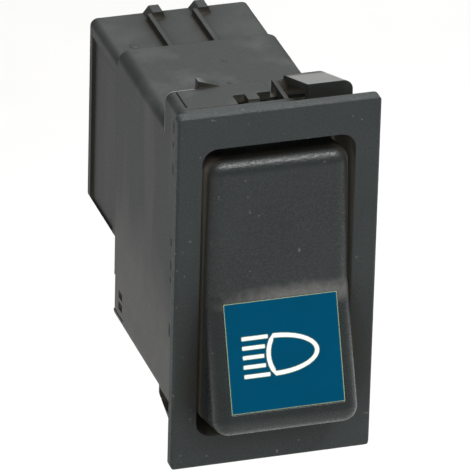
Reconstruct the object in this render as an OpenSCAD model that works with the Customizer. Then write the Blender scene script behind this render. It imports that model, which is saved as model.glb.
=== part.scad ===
// Panel rocker switch: a snap-in lighting switch for a 22 x 44 mm panel cut-out, with two change-over
// contacts, a lamp behind a blue lens and ten terminal places in a keyed plug shroud.
//
// Frame: the origin is the centre of the panel face behind the bezel. -Y is the front, +Y runs back
// through the panel, +Z is up. The rocker is drawn with its top pressed in.

/* [Panel collar] */
// Width of the collar that passes through the panel
collar_w = 21.6; // [20.6:0.1:24]
// Height of the collar that passes through the panel
collar_h = 43.8; // [42:0.2:50]
// Corner radius of the collar
collar_r = 1; // [0.6:0.1:1.6]
// Wall of the collar on the housing
collar_wall = 1.2; // [1:0.1:1.6]
// Depth of the bezel's own skirt
skirt_d = 6.7; // [6.2:0.1:8]
// Depth of the collar on the housing, behind the skirt
collar_d = 5.4; // [5:0.1:7]
// Seam between skirt and housing collar
seam = 0.15; // [0.1:0.05:0.3]

/* [Bezel] */
// Lap of the front plate over the panel at each side
side_lap = 2.5; // [1.5:0.1:5]
// Lap of the front plate over the panel at top and bottom
end_lap = 3.1; // [2:0.1:6]
// Thickness of the front plate
plate_t = 1.5; // [1:0.1:2.5]
// Corner radius of the front plate
plate_r = 0.7; // [0.5:0.1:2.5]
// Chamfer round the front of the plate
plate_edge = 0.25; // [0.1:0.05:0.5]
// Side wall between rocker opening and collar face
side_wall = 0.75; // [0.6:0.05:1]
// End wall between rocker opening and collar face
end_wall = 1.5; // [1.2:0.1:2]
// Corner radius of the rocker opening
opening_r = 2; // [1:0.1:3]
// Drop of the rocker opening below the centre of the plate
opening_drop = 0.15; // [0:0.05:0.3]
// Height of the two clips that hold the bezel to the housing
clip_h = 8; // [5:0.5:9]
// Thickness of each clip
clip_t = 0.8; // [0.6:0.1:1]
// Barb of each clip
clip_barb = 0.45; // [0.3:0.05:0.6]

/* [Rocker] */
// Gap between rocker and opening at each side
rocker_side_gap = 0.5; // [0.4:0.05:1.2]
// Gap between rocker and opening at each end, measured at mid travel
rocker_end_gap = 2.2; // [2:0.1:3.5]
// Depth of the pivot behind the panel face
pivot_y = 1.6; // [1.5:0.1:2.5]
// Drop of the pivot below the centre of the plate
pivot_drop = 0.8; // [0.5:0.1:1]
// Distance from the pivot forward to the rocker's end edges
rocker_reach = 7.2; // [6.5:0.1:8]
// Distance from the pivot back to the rocker's rear edge
rocker_back = 2; // [1.8:0.1:2.6]
// Slope of each half of the dished face, degrees
dish = 7.5; // [4:0.5:9]
// Tilt of the rocker to each side of its middle, degrees
throw = 12.5; // [10:0.5:13]
// Radius of the soft fold across the middle of the face
fold_r = 7.5; // [4:0.5:8]
// Radius of the shoulders, end edges and corners
shoulder_r = 2; // [1:0.1:2.2]
// Wall of the rocker
rocker_wall = 1.2; // [1:0.1:1.5]
// Thickness of the rocker's face
face_t = 1.6; // [1.3:0.1:1.8]
// Radius of the trunnions
trunnion_r = 1.3; // [1:0.05:1.4]
// Running clearance of trunnions, plungers and contact knuckles, on the radius
running = 0.05; // [0.03:0.01:0.08]

/* [Lens] */
// Margin of the rocker's face at each side of the lens
lens_side = 2.05; // [1.85:0.05:3]
// Margin of the rocker's face below the lens
lens_end = 3.15; // [2.5:0.05:5]
// Distance of the lens from the fold of the face
lens_s = 1.1; // [0.8:0.1:2]
// Thickness of the lens flange
flange_t = 0.8; // [0.5:0.1:1]
// Overlap of the lens flange behind the face
flange_lap = 0.5; // [0.3:0.1:0.55]
// Depth of the inlaid symbol
symbol_t = 0.2; // [0.1:0.05:0.5]
// Spacing of the five light bars
bar_pitch = 1.21; // [1:0.01:1.4]
// Line width of the light bars
stroke = 0.44; // [0.3:0.01:0.6]
// Line width of the lamp figure
lamp_stroke = 0.52; // [0.3:0.01:0.6]
// Length of the lamp figure, centre line
lamp_len = 5.65; // [4:0.05:6]
// Half height of the lamp figure, centre line
lamp_half = 2.42; // [2:0.01:3]
// Bulge of the lamp figure's left side
lamp_bulge = 0.78; // [0.5:0.01:1.2]
// Place of the lamp figure right of the lens centre line
lamp_x = -1.3; // [-2:0.1:-0.5]
// Left end of the light bars, from the lens centre line
bar_x = -5.45; // [-6:0.05:-5]

/* [Housing] */
// Height of the housing's roof above the centre
roof_z = 17.9; // [17:0.1:19]
// Depth of the housing's floor below the centre
floor_z = 21.2; // [20.5:0.1:21.6]
// Distance of the housing's rear wall behind the panel face
housing_y = 32.9; // [31:0.1:38]
// Wall of the housing
housing_wall = 1.2; // [1:0.1:1.4]
// Rear wall of the housing
rear_wall = 1.5; // [1.2:0.1:2]
// Corner radius of the housing
housing_r = 1.5; // [0.8:0.1:2]
// Thickness of the partition behind the rocker
deck_t = 1.2; // [0.8:0.1:1.2]
// Gap between the skirt's rear edge and the partition
deck_gap = 3.2; // [3.1:0.1:3.4]

/* [Snap latches] */
// Width of each latch
latch_w = 6; // [4:0.1:6.6]
// Thickness of each latch
latch_t = 0.9; // [0.8:0.05:1.4]
// Rise of the latch's free end above its root
latch_rise = 3.3; // [2:0.1:4]
// Panel thickness that the latch clears
panel_t = 2.6; // [2.1:0.1:3.5]
// Step of the latch root above the collar
latch_step = 0.5; // [0.3:0.1:0.8]
// Edge radius of the latch
latch_r = 1.3; // [0.8:0.1:1.6]
// Thickness of the lip at the latch's free end
lip_t = 0.9; // [0.6:0.1:1.5]
// Depth of the lip that stops against the panel
latch_lip = 2.5; // [1:0.1:3]
// Height of the slot that frees the latch from the collar's side
latch_gap = 1.6; // [0.8:0.1:2]
// Gap between latch and guide rib
rib_gap = 1; // [0.5:0.1:1.5]
// Thickness of the guide rib
rib_t = 0.6; // [0.4:0.1:0.8]
// Left side of the roof window beside the latch
window_x = -2.9; // [-5:0.1:-2]
// Length of the roof window behind the seam
window_d = 2.4; // [2:0.1:4]
// Depth of the slot beside the guide rib
slot_z = 4; // [2:0.1:5]
// Width of the hook behind the collar
hook_w = 2.9; // [2:0.1:5]
// Height of the hook above the collar
hook_h = 1; // [0.6:0.1:1.6]
// Place of the hook's low end, from the centre line
hook_x = -3.6; // [-4:0.1:-2]

/* [Terminal base] */
// Height of the plug shroud
shroud_h = 26.3; // [26:0.1:28]
// Height of the shroud's centre above the plate's centre
shroud_z = 3.4; // [3.2:0.1:3.5]
// Depth of the plug shroud behind the housing
shroud_d = 12.8; // [10:0.1:14]
// Wall of the plug shroud
shroud_wall = 1.3; // [1.1:0.1:1.6]
// Corner radius of the plug shroud
shroud_r = 1; // [0.6:0.1:1.6]
// Floor of the plug shroud behind the housing
shroud_floor = 1.5; // [1:0.1:2.5]
// Depth of the spigot that holds the terminals in the housing
spigot_d = 5; // [4:0.1:6]
// Sunk side panels of the shroud
panel_sunk = 0.4; // [0.2:0.05:0.5]
// Rim round each sunk side panel
panel_rim = 1.1; // [0.8:0.1:2]
// Width of each coding rib at its foot
key_w = 2.5; // [2:0.1:3.5]
// Height of each coding rib's head
key_h = 1; // [0.6:0.1:1.6]
// Left coding rib, from the centre line to its left side
key_left = -3.7; // [-5:0.1:-3]
// Right coding rib, from the centre line to its left side
key_right = 2.5; // [1.5:0.1:4]
// Width of the bar of each coding rib
key_bar_w = 0.6; // [0.4:0.1:1.5]
// Height of the bar of each coding rib
key_bar_h = 0.8; // [0.4:0.1:1]

/* [Terminals] */
// Spacing of the terminal rows
row_pitch = 4.2; // [4.1:0.05:4.4]
// Distance of the terminal columns from the centre line
column_x = 4.6; // [4.4:0.1:4.9]
// Width of each blade
blade_w = 6.3; // [4.8:0.1:6.3]
// Thickness of each blade
blade_t = 0.8; // [0.5:0.1:0.8]
// Recess of the blade tips inside the shroud
tip_recess = 1.3; // [0.8:0.1:3]
// Radius of the latch hole in each blade
blade_hole_r = 0.8; // [0.5:0.1:1]
// Width of the strips inside the housing
strip_w = 4; // [3:0.1:4.4]

/* [Contacts] */
// Distance from the pivot back to the plunger tips at mid travel
plunger_reach = 11; // [10.8:0.1:11.4]
// Radius of the plungers
plunger_r = 1.3; // [1:0.05:1.4]
// Length of the plungers
plunger_l = 8; // [7:0.1:8.6]
// Length of the springs behind the plungers
spring_l = 4; // [3:0.1:4.4]
// Wire radius of the springs
wire_r = 0.2; // [0.12:0.01:0.24]
// Turns of each spring
spring_turns = 5; // [4:1:7]
// Wall of the plunger guides
guide_wall = 0.95; // [0.7:0.05:1.1]
// Gap between plunger tip and moving contact at mid travel
tip_gap = 0.08; // [0.05:0.01:0.2]
// Thickness of the moving contacts
contact_t = 0.6; // [0.5:0.05:0.7]
// Distance from the knuckle to each contact point
contact_arm = 5.8; // [5.6:0.1:6]
// Tilt of the moving contacts to each side, degrees
contact_rock = 5; // [3:0.5:6]
// Radius of the contact points
point_r = 1.1; // [0.8:0.1:1.2]
// Radius of the contact knuckles
knuckle_r = 0.6; // [0.5:0.05:0.7]
// Gap left between closed contact points
closed_gap = 0.05; // [0.03:0.01:0.1]

/* [Lamp] */
// Drop of the bulb below the centre of the plate
lamp_drop = 11; // [11:0.1:12]
// Radius of the bulb
bulb_r = 2.5; // [2:0.1:2.6]
// Distance of the bulb's tip behind the panel face
bulb_y = 1.6; // [1.5:0.1:3]
// Length of the bulb
bulb_l = 15.8; // [14:0.1:16]
// Wall of the lamp holder
holder_wall = 1; // [0.8:0.1:1.1]
// Length of the lamp holder
holder_l = 7.2; // [6.6:0.1:8]
// Length of the bulb held in the lamp holder
bulb_seat = 4.5; // [4:0.1:5.5]
// Distance of the shelf behind the lamp holder's front
shelf_y = 3.3; // [2.8:0.1:3.4]
// Thickness of the shelf
shelf_t = 1.2; // [0.8:0.1:1.4]

/* [Hidden] */

$fn = 48;
fit = 0.05;             // clearance of parts that are pushed together
eps = 0.01;             // overlap of unions and cuts
through = 60;           // length of a cut that runs right through
blend = 0.005;          // step by which a rounding lies inside the faces it joins
opening_w = collar_w - 2 * side_wall;
opening_h = collar_h - 2 * end_wall;
collar_y = skirt_d + seam;
step_y = collar_y + collar_d;
inner_x = collar_w / 2 - collar_wall;
rocker_w = opening_w - 2 * rocker_side_gap;
rocker_half = opening_h / 2 - rocker_end_gap;
fold_reach = rocker_reach - rocker_half * tan(dish);
lens_w = rocker_w - 2 * lens_side;
lens_h = rocker_half / cos(dish) - lens_s - lens_end;
deck_y = skirt_d + deck_gap;
guide_r = plunger_r + running + guide_wall;
guide_floor = plunger_reach - plunger_l - spring_l;
guide_end = plunger_reach - 3;
dish_r = plunger_reach + tip_gap;
knuckle_y = dish_r + contact_t + 0.32;
point_face = knuckle_y + 0.15;
wing_y = dish_r - contact_t - 0.08;
wing_z = contact_arm + point_r + 0.1;
fixed_y = knuckle_y + (point_face - knuckle_y) * cos(contact_rock)
    + (contact_arm + point_r) * sin(contact_rock) + closed_gap;
fixed_point_h = 0.3;
shroud_y = housing_y + shroud_d;
tip_y = shroud_y - tip_recess;
spigot_y = housing_y - spigot_d;
common_z = -pivot_drop;
lamp_row_z = common_z + 2 * row_pitch;
holder_y = bulb_y + bulb_l - bulb_seat;
holder_r = bulb_r + fit + holder_wall;

// ---- helpers -------------------------------------------------------------------------------------

// A rounded rectangle about the centre
module rounded(w, h, r) {
    square([w - 2 * r, h], center = true);
    square([w, h - 2 * r], center = true);
    for (x = [-1, 1], y = [-1, 1])
        translate([x * (w / 2 - r), y * (h / 2 - r)]) circle(r);
}

// Draws a front view (x, z) from depth y0 back to y1
module front(y0, y1) {
    translate([0, y1, 0]) rotate([90, 0, 0]) linear_extrude(y1 - y0) children();
}

// Draws a side view (y, z) from x0 to x1
module side(x0, x1) {
    translate([x0, 0, 0]) rotate([90, 0, 90]) linear_extrude(x1 - x0) children();
}

module block(x0, x1, y0, y1, z0, z1) {
    translate([x0, y0, z0]) cube([x1 - x0, y1 - y0, z1 - z0]);
}

// A round bar along Y
module bar_y(r, y0, y1) {
    translate([0, y0, 0]) rotate([-90, 0, 0]) cylinder(r = r, h = y1 - y0);
}

// A round bar along X
module bar_x(r, x0, x1) {
    translate([x0, 0, 0]) rotate([0, 90, 0]) cylinder(r = r, h = x1 - x0);
}

// What is drawn and the same turned half round the depth axis
module twice() {
    children();
    rotate([0, 180, 0]) children();
}

module at_pivot() {
    translate([0, pivot_y, -pivot_drop]) children();
}

// The rocker's own frame, at rest with its top pressed in
module rocked() {
    at_pivot() rotate([-throw, 0, 0]) children();
}

// The frame of the lower half of the face: z runs up to the fold, y into the rocker
module lower_face() {
    translate([0, -fold_reach, 0]) rotate([-dish, 0, 0]) children();
}

// ---- bezel ---------------------------------------------------------------------------------------

module bezel_plate() {
    w = collar_w / 2 + side_lap;
    h = collar_h / 2 + end_lap;
    edge_y = plate_edge - plate_t;
    intersection() {
        front(-plate_t, 0) rounded(2 * w, 2 * h, plate_r);
        side(-w, w) polygon([[-plate_t, plate_edge - h], [edge_y, -h], [0, -h], [0, h], [edge_y, h],
            [-plate_t, h - plate_edge]]);
        translate([0, 0, -h]) linear_extrude(2 * h) polygon([[plate_edge - w, -plate_t],
            [w - plate_edge, -plate_t], [w, edge_y], [w, 0], [-w, 0], [-w, edge_y]]);
    }
}

module bezel() {
    color("#3b4040") difference() {
        union() {
            bezel_plate();
            front(-eps, skirt_d) rounded(collar_w, collar_h, collar_r);
        }
        translate([0, 0, -opening_drop])
            front(-plate_t - 1, skirt_d + 1) rounded(opening_w, opening_h, opening_r);
        at_pivot() bar_x(trunnion_r + running, -collar_w, collar_w);
    }
    color("#3b4040") for (s = [-1, 1]) at_pivot() mirror([s < 0 ? 1 : 0, 0, 0]) bezel_clip();
}

// A clip on the right side of the skirt, in the pivot's frame
module bezel_clip() {
    out = inner_x - fit;
    root = skirt_d - pivot_y;
    tip = deck_y - 0.2 - pivot_y;
    block(out - clip_t, opening_w / 2 + eps, root - 1.4, root, -clip_h / 2, clip_h / 2);
    block(out - clip_t, out, root - eps, tip, -clip_h / 2, clip_h / 2);
    front_edge = tip - 1.1;
    translate([0, 0, -clip_h / 2]) linear_extrude(clip_h)
        polygon([[out - eps, front_edge], [out + clip_barb, front_edge], [out + clip_barb, tip - 0.5],
            [out, tip], [out - eps, tip]]);
}

// ---- rocker --------------------------------------------------------------------------------------

// Rounds the corner p between two edges that leave it along the unit vectors a and b
module corner_cut(p, a, b, r) {
    half = acos(a * b) / 2;
    m = (a + b) / norm(a + b);
    c = p + m * r / sin(half);
    t = r / tan(half);
    difference() {
        polygon([p + a * t, p - m, p + b * t, c]);
        translate(c) circle(r);
    }
}

// Side view of the rocker between its shoulders
module rocker_side() {
    difference() {
        polygon([[-rocker_reach, rocker_half], [-fold_reach, 0], [-rocker_reach, -rocker_half],
            [rocker_back, -rocker_half], [rocker_back, rocker_half]]);
        for (s = [-1, 1])
            corner_cut([-rocker_reach, s * rocker_half], [sin(dish), -s * cos(dish)], [1, 0], shoulder_r);
    }
}

// Side view of what lies at least a shoulder radius below the face and inside the ends
module rocker_core() {
    end = rocker_half - shoulder_r;
    fold = shoulder_r / cos(dish) - fold_reach;
    face = fold - end * tan(dish);
    polygon([[face, end], [fold, 0], [face, -end], [rocker_back, -end], [rocker_back, end]]);
}

// A shoulder of the lower half and the corner at its end, x is the centre line of the shoulder.
// The ball is turned so that its poles lie off the seams.
module rocker_edge(x) {
    end = rocker_half - shoulder_r;
    fold = shoulder_r / cos(dish) - fold_reach;
    face = fold - end * tan(dish);
    translate([x, fold, 0]) rotate([-dish, 0, 0]) translate([0, 0, -end / cos(dish)])
        cylinder(r = shoulder_r - blend, h = end / cos(dish) + 1);
    translate([x, face, -end]) {
        rotate([35, 45, 0]) sphere(shoulder_r - 2 * blend);
        bar_y(shoulder_r - 2 * blend, 0, rocker_back - face);
    }
}

// The soft fold: the rocker's cross-section turned about a line in front of it
module rocker_fold() {
    depth = 5;
    translate([0, -fold_reach - fold_r / cos(dish), 0]) rotate([0, 90, 0]) rotate([0, 0, 90 - dish])
        rotate_extrude(angle = 2 * dish, $fn = 180) translate([fold_r + blend, 0]) {
            translate([shoulder_r, -rocker_w / 2 + shoulder_r]) circle(shoulder_r, $fn = 48);
            translate([shoulder_r, rocker_w / 2 - shoulder_r]) circle(shoulder_r, $fn = 48);
            translate([0, -rocker_w / 2 + shoulder_r]) square([depth, rocker_w - 2 * shoulder_r]);
            translate([shoulder_r, -rocker_w / 2]) square([depth - shoulder_r, rocker_w]);
        }
}

module rocker_outside() {
    flat_x = rocker_w / 2 - shoulder_r;
    rocker_fold();
    side(-flat_x, flat_x) rocker_side();
    side(-rocker_w / 2, rocker_w / 2) rocker_core();
    for (x = [-flat_x, flat_x]) {
        rocker_edge(x);
        mirror([0, 0, 1]) rocker_edge(x);
    }
}

module rocker_hollow() {
    half = rocker_half - rocker_wall;
    side(-rocker_w / 2 + rocker_wall, rocker_w / 2 - rocker_wall)
        polygon([[face_t - rocker_reach, half], [face_t - fold_reach, 0], [face_t - rocker_reach, -half],
            [rocker_back + 1, -half], [rocker_back + 1, half]]);
}

// Window for the lens, through the lower half of the face
module lens_window() {
    lower_face() block(-lens_w / 2 - fit, lens_w / 2 + fit, -1, face_t + fit,
        -lens_s - lens_h - fit, -lens_s + fit);
}

module rocker() {
    color("#3e4242") rocked() difference() {
        union() {
            difference() {
                rocker_outside();
                rocker_hollow();
                lens_window();
            }
            for (s = [-1, 1]) {
                translate([s * column_x, 0, 0]) bar_y(guide_r, face_t - fold_reach + fit, guide_end);
                bar_x(trunnion_r, s > 0 ? rocker_w / 2 - eps : -collar_w / 2 + 0.1,
                    s > 0 ? collar_w / 2 - 0.1 : -rocker_w / 2 + eps);
            }
            block(-rocker_w / 2 + rocker_wall - eps, rocker_w / 2 - rocker_wall + eps,
                face_t - fold_reach - 0.3, guide_end - 3, 0, 1.4);
        }
        for (s = [-1, 1]) translate([s * column_x, 0, 0]) bar_y(plunger_r + running, guide_floor, through);
    }
}

// ---- lens and symbol -----------------------------------------------------------------------------

// Half an ellipse to the right and a shallow arc to the left, grown by g
module lamp_figure(g) {
    arc_r = (lamp_half * lamp_half + lamp_bulge * lamp_bulge) / (2 * lamp_bulge);
    arc_a = asin(lamp_half / arc_r);
    polygon(concat(
        [for (a = [-90:10:90]) [(lamp_len + g) * cos(a), (lamp_half + g) * sin(a)]],
        [for (k = [1:7]) let (a = arc_a - k * arc_a / 4)
            [arc_r - lamp_bulge - (arc_r + g) * cos(a), (arc_r + g) * sin(a)]]));
}

module symbol_outline() {
    ends = [0.67, 0.19, 0, 0.13, 0.63];
    translate([lamp_x, 0]) difference() {
        lamp_figure(lamp_stroke / 2);
        lamp_figure(-lamp_stroke / 2);
    }
    for (i = [0:4]) translate([bar_x, (2 - i) * bar_pitch - stroke / 2])
        square([lamp_x - lamp_bulge - bar_x - 0.62 + ends[i], stroke]);
}

// The symbol in the plane of the lens, from the front surface inwards
module symbol_solid(depth) {
    translate([0, 0, -lens_s - lens_h / 2]) front(0, depth) symbol_outline();
}

module lens() {
    z0 = -lens_s - lens_h;
    clear_z = -guide_r - 0.5;
    color("#004e6e") rocked() lower_face() difference() {
        union() {
            block(-lens_w / 2, lens_w / 2, 0, face_t + 2 * fit, z0, -lens_s);
            block(-lens_w / 2 - flange_lap, lens_w / 2 + flange_lap, face_t + 2 * fit,
                face_t + 2 * fit + flange_t, z0 - flange_lap, clear_z);
        }
        translate([0, -1, 0]) symbol_solid(1 + symbol_t);
    }
}

module lens_symbol() {
    color("white") rocked() lower_face() symbol_solid(symbol_t);
}

// ---- housing -------------------------------------------------------------------------------------

// The latch at the top right: a sloping tongue, free at the front, with a lip at its outer edge
module latch() {
    root_z = collar_h / 2 + latch_step;
    top_z = root_z + latch_rise;
    run = step_y - panel_t;
    slope = atan(latch_rise / run);
    x1 = collar_w / 2;
    intersection() {
        union() {
            side(x1 - latch_w, x1) polygon([[step_y, collar_h / 2 - collar_wall], [step_y, root_z],
                [panel_t, top_z], [panel_t, top_z - latch_lip], [panel_t + lip_t, top_z - latch_lip],
                [panel_t + lip_t, top_z - latch_rise * lip_t / run - latch_t],
                [step_y - 1.5, collar_h / 2 - 0.1], [step_y - 1.5, collar_h / 2 - collar_wall]]);
            side(x1 - 1, x1) polygon([[step_y - 1, root_z], [panel_t, top_z],
                [panel_t + lip_t, top_z - latch_lip],
                [step_y - 4, collar_h / 2 + 0.15], [step_y - 1, collar_h / 2 + 0.15]]);
        }
        translate([0, step_y, root_z]) rotate([-slope, 0, 0]) front(-2 * run, 2) {
            translate([0, -10]) square([x1 - latch_r, 10]);
            translate([0, -10]) square([x1, 10 - latch_r]);
            translate([x1 - latch_r, -latch_r]) circle(latch_r);
        }
    }
}

// Slots in the collar that free the latch, with a tongue and the guide rib left standing
module latch_slots() {
    z0 = collar_h / 2 - collar_wall - 0.5;
    z1 = collar_h / 2 + eps;
    y0 = collar_y - 1;
    latch_x = collar_w / 2 - latch_w;
    rib_x = latch_x - rib_gap - rib_t;
    difference() {
        union() {
            block(window_x, rib_x - 1, y0, collar_y + window_d, z0, z1);
            block(rib_x - 1.1, rib_x, y0, step_y - 0.4, z0, z1);
        }
        block(window_x + 1.6, window_x + 3.15, collar_y + 0.8, collar_y + window_d + 1, z0, z1);
    }
    block(rib_x - 1.1, rib_x, step_y - 0.5, step_y + 0.5, collar_h / 2 - slot_z, z1);
    block(rib_x + rib_t, inner_x, y0, step_y - 1.5, z0, z1);
    block(rib_x + rib_t, latch_x, y0, step_y - 0.5, z0, z1);
    block(inner_x - 0.5, collar_w, y0, step_y - 0.4, collar_h / 2 - latch_gap, z1);
}

module housing_outside() {
    front(collar_y, step_y) rounded(collar_w, collar_h, collar_r);
    translate([0, 0, (roof_z - floor_z) / 2])
        front(step_y - eps, housing_y) rounded(collar_w, roof_z + floor_z, housing_r);
    block(-collar_w / 2 + housing_r, collar_w / 2 - housing_r, housing_y - 1, housing_y + 0.4,
        -floor_z, -floor_z + 1.6);
    twice() {
        latch();
        translate([hook_x, 0, 0]) front(step_y - eps, step_y + 1.2)
            polygon([[0, roof_z - 0.5], [-hook_w, roof_z - 0.5], [-hook_w, collar_h / 2 + hook_h],
                [0, collar_h / 2]]);
    }
}

module housing_inside() {
    top = roof_z - housing_wall;
    low = floor_z - housing_wall;
    block(-inner_x, inner_x, collar_y - 1, step_y - collar_wall,
        -collar_h / 2 + collar_wall, collar_h / 2 - collar_wall);
    block(-inner_x, inner_x, step_y - collar_wall - eps, housing_y - rear_wall, -low, top);
    block(-inner_x + 0.4, inner_x - 0.4, housing_y - rear_wall - eps, housing_y + 1,
        shroud_z - shroud_h / 2 + shroud_wall, shroud_z + shroud_h / 2 - shroud_wall);
}

// Partition behind the rocker, with the contact window and the lamp hole
module deck() {
    difference() {
        block(-inner_x - eps, inner_x + eps, deck_y, deck_y + deck_t,
            -collar_h / 2 + collar_wall - eps, collar_h / 2 - collar_wall + eps);
        at_pivot() block(-inner_x + 1.2, inner_x - 1.2, 0, through, -wing_z - 0.6, wing_z + 0.6);
        translate([0, 0, -lamp_drop]) bar_y(bulb_r + 0.5, 0, through);
    }
}

// Wall that carries the lamp holder
module lamp_shelf() {
    y0 = holder_y + shelf_y;
    difference() {
        block(-inner_x - eps, inner_x + eps, y0, y0 + shelf_t, -floor_z + housing_wall - eps,
            -lamp_drop + bulb_r);
        translate([0, 0, -lamp_drop]) bar_y(holder_r + fit, 0, through);
    }
}

module housing() {
    rear_y = housing_y;
    color("#585858") difference() {
        union() {
            difference() {
                housing_outside();
                housing_inside();
                twice() latch_slots();
            }
            deck();
            lamp_shelf();
        }
        // Pockets for the bezel clips
        at_pivot() block(-inner_x - clip_barb - 0.15, inner_x + clip_barb + 0.15,
            deck_y - 1.5 - pivot_y, deck_y - pivot_y, -clip_h / 2 - 0.2, clip_h / 2 + 0.2);
        // Pockets for the terminal base's hooks
        block(-inner_x - 0.55, inner_x + 0.55, spigot_y + 0.5, spigot_y + 1.9, shroud_z - 3.2, shroud_z + 3.2);
        // Slit beside each latch-free corner of the collar
        twice() block(-collar_w / 2 + 1.2, -collar_w / 2 + 1.4, collar_y + 0.5, step_y + 1,
            collar_h / 2 - 0.5, collar_h / 2 + 1);
        // Sunk back between the foot ledge and the shroud
        block(-collar_w, collar_w, rear_y - 0.4, rear_y + 1, -floor_z + 1.6, -floor_z + 6.7);
        // Notch in the foot behind the lower latch
        block(-collar_w, -collar_w / 2 + 1, step_y + eps, step_y + 2, -floor_z - 1, -floor_z + 0.9);
        // Tool marks and ejector windows low on each side
        for (s = [-1, 1]) mirror([s > 0 ? 1 : 0, 0, 0]) {
            block(-collar_w, -collar_w / 2 + 0.6, rear_y - 3.7, rear_y - 2.1, -floor_z + 4.4, -floor_z + 5.4);
            block(-collar_w, -collar_w / 2 + 0.6, rear_y - 3.7, rear_y - 2.1, -floor_z + 2.7, -floor_z + 3.8);
            block(-collar_w, -collar_w / 2 + 0.4, rear_y - 4.2, rear_y + 1, -floor_z + 1.6, -floor_z + 1.85);
        }
    }
}

// ---- terminal base -------------------------------------------------------------------------------

// A coding rib on the shroud's roof: a low bar with a tapered head at the rear edge
module coding_rib(x) {
    z = shroud_z + shroud_h / 2;
    block(x, x + key_bar_w, housing_y, shroud_y - 2, z - 0.3, z + key_bar_h);
    translate([x, 0, z]) front(shroud_y - 2.2, shroud_y)
        polygon([[0, -0.3], [0, 0], [0.8, key_h], [key_w - 0.4, key_h], [key_w, 0], [key_w, -0.3]]);
}

// Slot for each blade: six contact blades and two lamp blades
module blade_slots() {
    for (s = [-1, 1], row = [-1, 0, 1, 2])
        translate([s * column_x, 0, common_z + row * row_pitch])
            block(-blade_w / 2 - fit, blade_w / 2 + fit, spigot_y - 1, shroud_y,
                -blade_t / 2 - fit, blade_t / 2 + fit);
}

module terminal_base() {
    inner_w = collar_w - 2 * shroud_wall;
    inner_h = shroud_h - 2 * shroud_wall;
    color("#4e5151") difference() {
        union() {
            translate([0, 0, shroud_z]) {
                front(housing_y, shroud_y) rounded(collar_w, shroud_h, shroud_r);
                front(spigot_y, housing_y + eps) square([2 * inner_x - 0.8 - 2 * fit, inner_h - 2 * fit], true);
                for (s = [0, 1]) mirror([s, 0, 0])
                    translate([0, 0, -3]) linear_extrude(6)
                        polygon([[inner_x - 1, spigot_y + 0.6], [inner_x - 0.4, spigot_y + 0.6],
                            [inner_x + 0.4, spigot_y + 1.6], [inner_x + 0.4, spigot_y + 1.8],
                            [inner_x - 1, spigot_y + 1.8]]);
            }
            coding_rib(key_left);
            coding_rib(key_right);
        }
        translate([0, 0, shroud_z])
            front(housing_y + shroud_floor, shroud_y + 1) rounded(inner_w, inner_h, shroud_r / 2);
        blade_slots();
        for (s = [-1, 1]) block(min(s * collar_w, s * (collar_w / 2 - panel_sunk)),
            max(s * collar_w, s * (collar_w / 2 - panel_sunk)), housing_y + panel_rim, shroud_y - panel_rim,
            shroud_z - shroud_h / 2 + panel_rim / 2, shroud_z + shroud_h / 2 - 2 * shroud_r);
    }
}

// ---- terminals -----------------------------------------------------------------------------------

// A blade with a bevelled tip and a latch hole, on a narrower strip that starts at y0
module terminal_strip(y0) {
    c = 1.2;
    translate([0, 0, -blade_t / 2]) linear_extrude(blade_t) difference() {
        union() {
            translate([-strip_w / 2, y0]) square([strip_w, spigot_y - y0]);
            polygon([[-blade_w / 2, spigot_y - 1], [blade_w / 2, spigot_y - 1], [blade_w / 2, tip_y - c],
                [blade_w / 2 - c, tip_y], [c - blade_w / 2, tip_y], [-blade_w / 2, tip_y - c]]);
        }
        translate([0, tip_y - 3.2]) circle(blade_hole_r);
    }
}

// s is -1 for the left column and 1 for the right, row counts up from the common row
module in_column(s, row) {
    translate([s * column_x, 0, common_z + row * row_pitch]) children();
}

// A fixed contact: the strip with a pad bent away from the common row, side is -1 below and 1 above
module fixed_terminal(s, side) {
    pad_y = pivot_y + fixed_y + fixed_point_h;
    z_far = (contact_arm - row_pitch + point_r + 0.1) * side;
    z_near = -blade_t / 2 * side;
    color("#c2b28a") in_column(s, side) {
        terminal_strip(pad_y);
        block(-strip_w / 2, strip_w / 2, pad_y, pad_y + blade_t, min(z_near, z_far), max(z_near, z_far));
    }
}

module common_terminal(s) {
    y0 = pivot_y + knuckle_y + 0.05;
    color("#c2b28a") in_column(s, 0) difference() {
        union() {
            terminal_strip(y0);
            block(-strip_w / 2, strip_w / 2, y0, y0 + 1.75, -2 * knuckle_r, 2 * knuckle_r);
        }
        translate([0, pivot_y + knuckle_y, 0]) bar_x(knuckle_r + running, -strip_w, strip_w);
    }
}

module fixed_points() {
    color("silver") for (s = [-1, 1], side = [-1, 1])
        translate([s * column_x, pivot_y, common_z + side * contact_arm])
            bar_y(point_r + 0.1, fixed_y, fixed_y + fixed_point_h);
}

// Lamp supply: a blade, a leg down the side wall and a foot against the lamp holder
module lamp_terminal(s) {
    leg_x = inner_x - 0.4;
    leg_y = spigot_y - 5.5;
    foot_y = holder_y + 5.6;
    color("#c2b28a") mirror([s < 0 ? 1 : 0, 0, 0]) {
        in_column(1, 2) {
            terminal_strip(leg_y);
            block(0, leg_x - column_x, leg_y, leg_y + 3, -blade_t / 2, blade_t / 2);
        }
        block(leg_x - blade_t, leg_x, leg_y, leg_y + 3, -lamp_drop - 1.2, lamp_row_z + blade_t / 2);
        block(leg_x - blade_t, leg_x, foot_y, leg_y + 3, -lamp_drop - 1.2, -lamp_drop + 1.2);
        difference() {
            block(holder_r - 0.6, leg_x, foot_y, foot_y + blade_t, -lamp_drop - 1.2, -lamp_drop + 1.2);
            translate([0, 0, -lamp_drop]) bar_y(holder_r + fit, 0, through);
        }
    }
}

// ---- moving contacts and plungers ----------------------------------------------------------------

// The frame of a moving contact, at rest with its lower end pressed back
module at_contact(s) {
    at_pivot() translate([s * column_x, knuckle_y, 0]) rotate([contact_rock, 0, 0])
        translate([0, -knuckle_y, 0]) children();
}

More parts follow.
